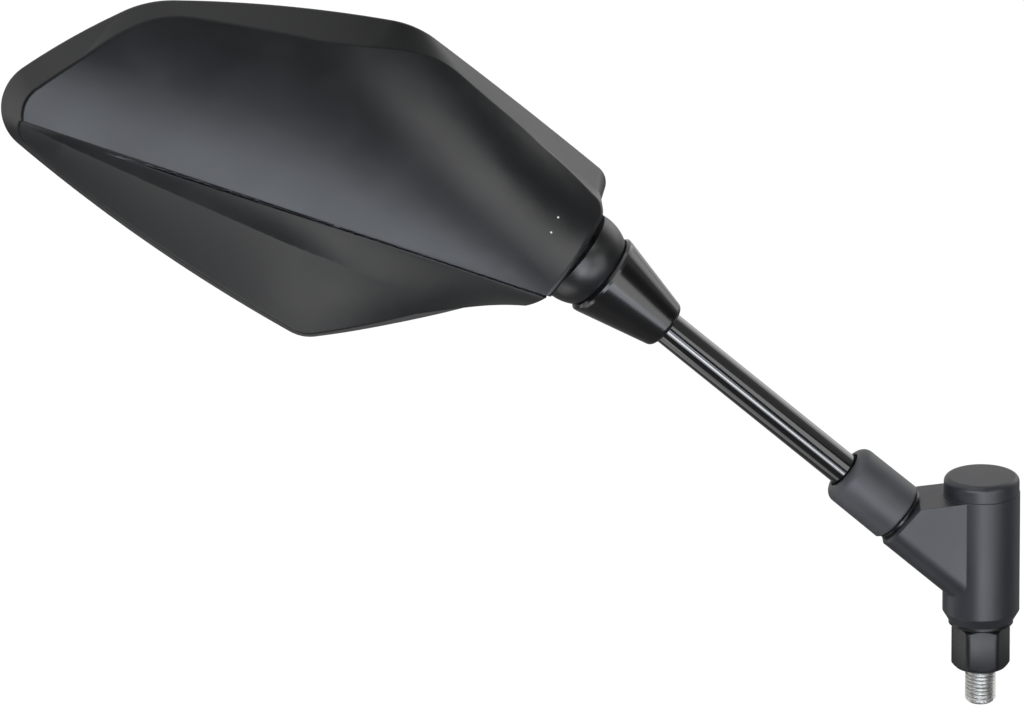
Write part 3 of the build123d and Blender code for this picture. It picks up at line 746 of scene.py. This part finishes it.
@dataclass
class RidgedShell:
    """The moulded back shell, with the facet and the groove that run under its ridge."""

    root: Span = (7.8 * MM, -8.0 * MM)
    tip: Span = (185.0 * MM, -10.0 * MM)
    facet_start: float = 1.7 * MM
    facet_spread: float = 0.125
    facet_slope: float = 0.26
    foot_start: float = 8.4 * MM
    foot_spread: float = 0.378
    facet_begin: float = 15.0 * MM
    facet_fade: Span = (85.0 * MM, 140.0 * MM)
    groove_top: float = 0.2 * MM
    groove_end: float = 2.1 * MM
    groove_lip: float = 0.2 * MM
    groove_depth: float = 1.2 * MM
    groove_fade: Span = (25.0 * MM, 60.0 * MM)
    slice_length: float = 4.0 * MM
    slice_reach: float = 188.0 * MM
    front_facing: float = -0.15
    nudge: float = 0.03
    step: float = 0.02 * MM
    kept_normal: str = "moulded_normal"

    def __post_init__(self) -> None:
        """Works out the ridge's tip and its two directions."""
        axes = HousingAxes()
        self.tip_point = axes.point(*self.tip)
        self.inwards = (axes.point(*self.root) - self.tip_point).normalized()
        self.downwards = self.inwards.cross(Vector((0.0, -1.0, 0.0)))

    def build(self) -> bpy.types.Object:
        """Makes the shell with its facet and groove.

        Returns:
            The shell's piece.
        """
        mesh = self.moulded_copy()
        self.slice_back(mesh)
        self.shape_back(mesh)
        piece = new_piece("moulded_shell", mesh, Slot.HOUSING, Body.HEAD)
        kept = piece.data.attributes[self.kept_normal]
        piece.data.normals_split_custom_set([item.vector[:] for item in kept.data])
        piece.data.attributes.remove(piece.data.attributes[self.kept_normal])
        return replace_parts(piece, "housing_shell")

    def moulded_copy(self) -> bmesh.types.BMesh:
        """A merged copy of the shell that remembers the smooth normals of its faces.

        Returns:
            The copy.
        """
        data = frame["nodes"]["housing_shell"].data
        mesh = bmesh.new()
        mesh.from_mesh(data)
        kept = mesh.loops.layers.float_vector.new(self.kept_normal)
        corners = iter(data.corner_normals)
        for face in mesh.faces:
            for loop in face.loops:
                loop[kept] = next(corners).vector
        bmesh.ops.remove_doubles(mesh, verts=mesh.verts, dist=MERGE_DISTANCE)
        return mesh

    def place(self, point: Vector) -> Span:
        """Where a point lies: along the ridge from its tip, and below the ridge."""
        offset = point - self.tip_point
        return offset.dot(self.inwards), offset.dot(self.downwards)

    def slice_back(self, mesh: bmesh.types.BMesh) -> None:
        """Cuts the back into rows along the ridge, the facet's fold, the groove and the panel's foot.

        Args:
            mesh: the shell's mesh.
        """
        cuts = []
        for row in range(1, int(self.slice_reach / self.slice_length)):
            cuts.append((self.tip_point + self.inwards * self.slice_length * row, self.inwards))
        for lower in (self.groove_end - self.groove_lip, self.groove_end):
            cuts.append((self.tip_point + self.downwards * lower, self.downwards))
        for start, spread in ((self.facet_start, self.facet_spread), (self.foot_start, self.foot_spread)):
            cuts.append((self.tip_point + self.downwards * start, self.downwards - self.inwards * spread))
        for point, normal in cuts:
            faces = [face for face in mesh.faces if face.normal.y < self.front_facing]
            edges = {edge for face in faces for edge in face.edges}
            verts = {vert for face in faces for vert in face.verts}
            bmesh.ops.bisect_plane(mesh, geom=[*verts, *edges, *faces], dist=MERGE_DISTANCE,
                                   plane_co=point, plane_no=normal.normalized())
        bmesh.ops.triangulate(mesh, faces=[face for face in mesh.faces if len(face.verts) > 3])

    def rise(self, along: float, below: float) -> float:
        """How far the back stands out from the plain panel at one place.

        Args:
            along: distance from the ridge's tip.
            below: distance under the ridge.

        Returns:
            The height, less than zero in the groove.
        """
        if along <= 0.0 or below <= 0.0:
            return 0.0
        fold = self.facet_start + self.facet_spread * along
        foot = self.foot_start + self.foot_spread * along
        fade = min(along / self.facet_begin, 1.0) * (1.0 - smooth_share(along, *self.facet_fade))
        share = below / fold if below < fold else max(0.0, (foot - below) / (foot - fold))
        height = self.facet_slope * fold * share * fade
        if self.groove_top < below < self.groove_end:
            sunk = min((self.groove_end - below) / self.groove_lip, 1.0)
            height -= self.groove_depth * sunk * smooth_share(along, *self.groove_fade)
        return height

    def shape_back(self, mesh: bmesh.types.BMesh) -> None:
        """Moves the back's rows out to the facet and in to the groove, and turns their normals to suit.

        Args:
            mesh: the sliced shell.
        """
        kept = mesh.loops.layers.float_vector[self.kept_normal]
        front = [face for face in mesh.faces if face.normal.y < self.front_facing]
        for face in front:
            middle = face.calc_center_median()
            for loop in face.loops:
                # The slope is taken a little inside the face, so the two sides of a fold keep their own.
                along, below = self.place(loop.vert.co.lerp(middle, self.nudge))
                level = self.rise(along, below)
                turn = self.inwards * (self.rise(along + self.step, below) - level) / self.step
                turn += self.downwards * (self.rise(along, below + self.step) - level) / self.step
                loop[kept] = (loop[kept] + turn * loop[kept].y).normalized()
        for vert in {vert for face in front for vert in face.verts}:
            vert.co.y -= self.rise(*self.place(vert.co))


@dataclass
class MirrorPane:
    """The convex glass, with its ground edge."""

    ground_edge: float = 0.5 * MM
    edge_segments: int = 3
    radius: float = 1400.0 * MM
    middle_along: float = 95.0 * MM
    front_facing: float = 0.985

    def build(self) -> bpy.types.Object:
        """Grinds the front edge of the glass.

        Returns:
            The pane's piece.
        """
        mesh = merged_copy("mirror_glass")
        rim = [edge for edge in mesh.edges if self.on_rim(edge)]
        bmesh.ops.bevel(mesh, geom=rim, offset=self.ground_edge, offset_type="OFFSET", affect="EDGES",
                        segments=self.edge_segments, profile=0.5, material=-1)
        bmesh.ops.recalc_face_normals(mesh, faces=mesh.faces)
        piece = new_piece("mirror_pane", mesh, Slot.MIRROR, Body.HEAD)
        self.polish(piece.data)
        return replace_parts(piece, "mirror_glass")

    def polish(self, data: bpy.types.Mesh) -> None:
        """Gives the front the true normals of its ball-shaped face.

        Args:
            data: the pane's mesh.
        """
        centre = HousingAxes().point(self.middle_along, 0.0)
        centre.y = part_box("mirror_glass")[1].y - self.radius
        normals = []
        for face in data.polygons:
            front = face.normal.y > self.front_facing
            for index in face.vertices:
                outwards = (data.vertices[index].co - centre).normalized()
                # A vector of no length leaves the mesh's own normal.
                normals.append(outwards if front else Vector())
        data.normals_split_custom_set(normals)

    def on_rim(self, edge: bmesh.types.BMEdge) -> bool:
        """Whether an edge parts the glass's front from its side."""
        fronts = [face.normal.y > self.front_facing for face in edge.link_faces]
        return len(fronts) == 2 and fronts[0] != fronts[1]


def heading(azimuth: float, elevation: float) -> Vector:
    """The direction from the mirror to a place round it.

    Args:
        azimuth: degrees round to the right from the mirror's back.
        elevation: degrees up from level.

    Returns:
        The direction, of length one.
    """
    turn = math.radians(azimuth)
    lift = math.radians(elevation)
    return Vector((math.sin(turn) * math.cos(lift), -math.cos(turn) * math.cos(lift), math.sin(lift)))


@dataclass(frozen=True)
class SoftBox:
    """A rectangular soft light that faces the mirror: its angles in degrees, its reach in metres."""

    name: str
    azimuth: float
    elevation: float
    width: float
    height: float
    radiance: float
    reach: float = 2.0
    tint: Colour = WHITE
    faces: Point | None = None

    def hang(self, middle: Vector) -> None:
        """Puts the light in its place.

        Args:
            middle: the point that it faces when it has none of its own.
        """
        target = Vector(self.faces or middle)
        lamp = bpy.data.lights.new(self.name, "AREA")
        lamp.shape = "RECTANGLE"
        lamp.size = 2 * self.reach * math.tan(math.radians(self.width / 2))
        lamp.size_y = 2 * self.reach * math.tan(math.radians(self.height / 2))
        lamp.energy = self.radiance * math.pi * lamp.size * lamp.size_y
        lamp.color = self.tint
        towards = heading(self.azimuth, self.elevation)
        holder = bpy.data.objects.new(self.name, lamp)
        holder.location = target + towards * self.reach
        holder.rotation_mode = "QUATERNION"
        holder.rotation_quaternion = (-towards).to_track_quat("-Z", "Y")
        holder.visible_camera = False
        bpy.context.scene.collection.objects.link(holder)


SKY_TINT: Colour = (0.91, 0.97, 1.07)
END_OF_BACK: Point = (-0.160, -0.008, 0.172)
FOOT_OF_BACK: Point = (-0.200, 0.010, 0.115)
MIDDLE_OF_BASE: Point = (0.0, 0.0, 0.010)
MIDDLE_OF_ROD: Point = (-0.072, 0.0, 0.092)
SOFT_BOXES: tuple[SoftBox, ...] = (
    SoftBox("window", -10.0, 4.0, 62.0, 28.0, 4.3, reach=0.55, tint=SKY_TINT),
    SoftBox("low_window", 16.0, -20.0, 46.0, 18.0, 3.6, reach=0.8, tint=SKY_TINT),
    SoftBox("right_window", 44.0, 0.0, 30.0, 36.0, 2.4, reach=0.9),
    SoftBox("end_window", 30.0, 38.0, 40.0, 28.0, 2.7, reach=0.2, faces=END_OF_BACK),
    SoftBox("low_bounce", -66.0, -60.0, 40.0, 30.0, 1.15, reach=0.55),
    SoftBox("band_glow", -10.0, -60.0, 44.0, 14.0, 1.2, reach=0.15, faces=FOOT_OF_BACK),
    SoftBox("left_panel", -106.0, 4.0, 30.0, 70.0, 1.25),
    SoftBox("right_panel", 132.0, 26.0, 40.0, 34.0, 1.1),
    SoftBox("overhead", -90.0, 72.0, 60.0, 60.0, 0.9),
    SoftBox("bright_strip", 5.0, -17.0, 9.0, 9.0, 9.0),
    SoftBox("rod_panel", 70.0, 37.0, 56.0, 26.0, 0.28, reach=0.35, faces=MIDDLE_OF_ROD),
    SoftBox("base_glow", 118.0, -6.0, 34.0, 30.0, 0.35, reach=0.3, faces=MIDDLE_OF_BASE),
)


@dataclass
class Studio:
    """Pale floor, soft light and the camera of the reference view."""

    azimuth: float = -3.0
    elevation: float = 19.5
    pixels_per_mm: float = 3.1
    image_size: tuple[int, int] = (1024, 709)
    stud_pixel: tuple[float, float] = (982.5, 666.2)
    distance: float = 8.0
    middle_depth: float = 0.035
    sensor: float = 36.0
    far_end: float = 100.0
    floor_height: float = -1.6
    floor_size: float = 80.0
    floor_colour: Colour = (0.05, 0.05, 0.05)
    floor_roughness: float = 0.9
    floor_fan: float = 0.9
    floor_reach: Span = (-0.9, 12.0)
    floor_glow: Span = (0.1, 0.9)
    room_reach: Span = (-0.1, 0.8)
    room_glow: Span = (0.05, 0.78)

    def axes(self) -> tuple[Vector, Vector, Vector]:
        """The view's own directions.

        Returns:
            Right, up and backward.
        """
        back = heading(self.azimuth, self.elevation)
        right = heading(self.azimuth + 90.0, 0.0)
        return right, back.cross(right), back

    def aim(self) -> Vector:
        """The point of the row frame at the middle of the picture.

        Returns:
            The point.
        """
        right, up, back = self.axes()
        across = (self.image_size[0] / 2 - self.stud_pixel[0]) / self.pixels_per_mm * MM
        above = (self.stud_pixel[1] - self.image_size[1] / 2) / self.pixels_per_mm * MM
        return right * across + up * above + back * self.middle_depth

    def camera(self) -> None:
        """Sets up a long lens at the reference view's angle."""
        lens = bpy.data.cameras.new("view")
        width = self.image_size[0] / self.pixels_per_mm * MM
        lens.sensor_width = self.sensor
        lens.lens = self.sensor * self.distance / width
        lens.clip_end = self.far_end
        eye = bpy.data.objects.new("view", lens)
        _, _, back = self.axes()
        eye.location = self.aim() + back * self.distance
        eye.rotation_mode = "QUATERNION"
        eye.rotation_quaternion = (-back).to_track_quat("-Z", "Y")
        bpy.context.scene.collection.objects.link(eye)
        bpy.context.scene.camera = eye

    @staticmethod
    def glow(nodes: ShaderTree, depth: bpy.types.NodeSocket, reach: Span,
             strength: Span) -> bpy.types.NodeSocket:
        """Light that grows towards the back of the room, and is full where the camera looks.

        Args:
            nodes: the tree of the floor or the room.
            depth: how far back a place lies.
            reach: where the light starts to grow and where it stops.
            strength: the light at both.

        Returns:
            The light's strength.
        """
        behind = nodes.remap(depth, *reach, *strength, smooth=True)
        seen = nodes.add("ShaderNodeLightPath").outputs["Is Camera Ray"]
        return nodes.math("MAXIMUM", behind, seen)

    def floor_paint(self) -> bpy.types.Material:
        """The floor's pale finish, clear from below.

        Returns:
            The material.
        """
        paint = bpy.data.materials.new("Pale floor")
        paint.use_nodes = True
        nodes = ShaderTree(paint.node_tree)
        shader = paint.node_tree.nodes["Principled BSDF"]
        shader.inputs["Base Color"].default_value = (*self.floor_colour, 1.0)
        shader.inputs["Roughness"].default_value = self.floor_roughness
        shader.inputs["Emission Color"].default_value = (*WHITE, 1.0)
        geometry = nodes.add("ShaderNodeNewGeometry")
        parts = nodes.add("ShaderNodeSeparateXYZ")
        nodes.join(geometry.outputs["Position"], parts.inputs[0])
        aside = nodes.math("MULTIPLY", nodes.math("ABSOLUTE", parts.outputs["X"], 0.0), self.floor_fan)
        depth = nodes.math("SUBTRACT", parts.outputs["Y"], aside)
        light = self.glow(nodes, depth, self.floor_reach, self.floor_glow)
        nodes.join(light, shader.inputs["Emission Strength"])
        both = nodes.add("ShaderNodeMixShader")
        nodes.join(geometry.outputs["Backfacing"], both.inputs[0])
        nodes.join(shader.outputs[0], both.inputs[1])
        nodes.join(nodes.add("ShaderNodeBsdfTransparent").outputs[0], both.inputs[2])
        nodes.join(both.outputs[0], paint.node_tree.nodes["Material Output"].inputs["Surface"])
        return paint

    def floor(self) -> None:
        """Lays the pale floor far below, seen from above only."""
        mesh = bmesh.new()
        bmesh.ops.create_grid(mesh, x_segments=1, y_segments=1, size=self.floor_size / 2)
        bmesh.ops.translate(mesh, verts=mesh.verts, vec=(0, 0, self.floor_height))
        data = bpy.data.meshes.new("floor")
        mesh.to_mesh(data)
        mesh.free()
        data.materials.append(self.floor_paint())
        ground = bpy.data.objects.new("floor", data)
        bpy.context.scene.collection.objects.link(ground)

    def lights(self) -> None:
        """Hangs the soft boxes of the reference view's studio."""
        for box in SOFT_BOXES:
            box.hang(self.aim())

    def dome(self) -> None:
        """Surrounds the mirror with a room that is pale behind it and dim in front."""
        world = bpy.data.worlds.new("room")
        world.use_nodes = True
        bpy.context.scene.world = world
        nodes = ShaderTree(world.node_tree)
        background = world.node_tree.nodes["Background"]
        place = nodes.add("ShaderNodeTexCoord").outputs["Generated"]
        parts = nodes.add("ShaderNodeSeparateXYZ")
        nodes.join(place, parts.inputs[0])
        background.inputs["Color"].default_value = (*WHITE, 1.0)
        light = self.glow(nodes, parts.outputs["Y"], self.room_reach, self.room_glow)
        nodes.join(light, background.inputs["Strength"])

    def build(self) -> None:
        """Sets the whole studio up."""
        bpy.context.scene.view_settings.view_transform = "Standard"
        self.floor()
        self.lights()
        self.dome()
        self.camera()


def main() -> None:
    """Dresses the mirror and sets the studio round it."""
    logging.basicConfig(level=logging.INFO, format="%(name)s: %(message)s")
    Wardrobe.dress_nodes()
    MountingStud().build()
    SpannerHex().build()
    RidgedShell().build()
    MirrorPane().build()
    Studio().build()


if __name__ == "__main__":
    main()
